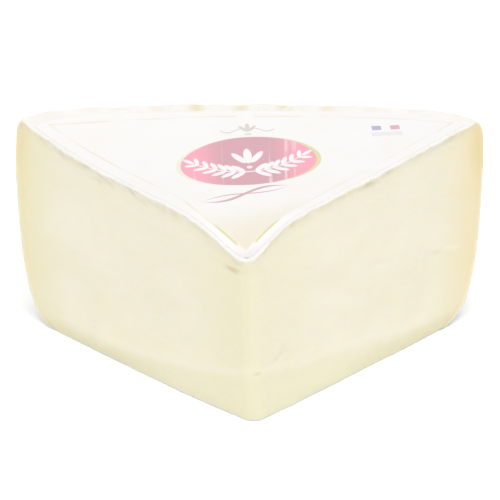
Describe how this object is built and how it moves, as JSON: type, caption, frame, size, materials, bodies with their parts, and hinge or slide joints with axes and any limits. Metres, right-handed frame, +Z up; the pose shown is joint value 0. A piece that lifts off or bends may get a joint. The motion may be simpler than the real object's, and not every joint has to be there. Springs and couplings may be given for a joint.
{
  "type": "cheese wedge",
  "caption": "Right-angled wedge cut from a square loaf of soft white-rind cheese, with a printed paper label on its top.",
  "frame": {"origin": "on the resting face, halfway between the wedge's point and its rind side, midway across", "axes": "+Z up, -Y towards the wedge's point, +X to the right as seen from the point, along the rind side"},
  "size_m": [0.1528, 0.085, 0.0734],
  "materials": {
    "cheese": "soft cream paste, moist and slightly translucent on the cut faces, under a matt white bloomy rind",
    "label_paper": "smooth coated white paper with pink, pale blue, pale red and gold print"
  },
  "bodies": {
    "root": {"cheese_wedge": "cheese", "top_label": "label_paper"}
  },
  "joints": []
}
